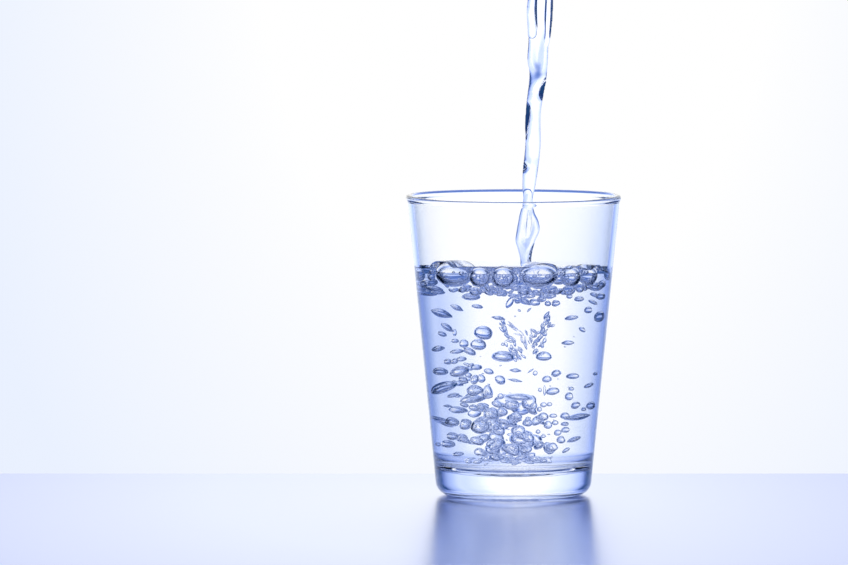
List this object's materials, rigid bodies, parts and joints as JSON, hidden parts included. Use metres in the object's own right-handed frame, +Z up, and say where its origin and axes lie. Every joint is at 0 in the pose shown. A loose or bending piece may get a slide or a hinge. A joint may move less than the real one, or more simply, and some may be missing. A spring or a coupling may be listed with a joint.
{
  "type": "tumbler of water",
  "caption": "Clear tapered drinking tumbler with a thick base, three quarters full of bubbling water, with a jet of water pouring in.",
  "frame": {"origin": "centre of the ring that the tumbler stands on, on the tumbler's axis", "axes": "+Z up along the tumbler's axis; -Y is the front, and the jet stands a little to +X of the axis"},
  "size_m": [0.08, 0.08, 0.1865],
  "materials": {
    "clear_glass": "polished",
    "water": "polished",
    "water_film": "polished"
  },
  "bodies": {
    "root": {"tumbler": "clear_glass", "water": "water", "pour_stream": "water", "surface_bubble_far_left": "water_film", "surface_bubble_left": "water_film", "surface_bubble_left_mid": "water_film", "surface_bubble_mid": "water_film", "surface_bubble_right_mid": "water_film", "surface_bubble_right": "water_film", "surface_bubble_right_wall": "water_film", "surface_bubble_far_right": "water_film"}
  },
  "joints": []
}
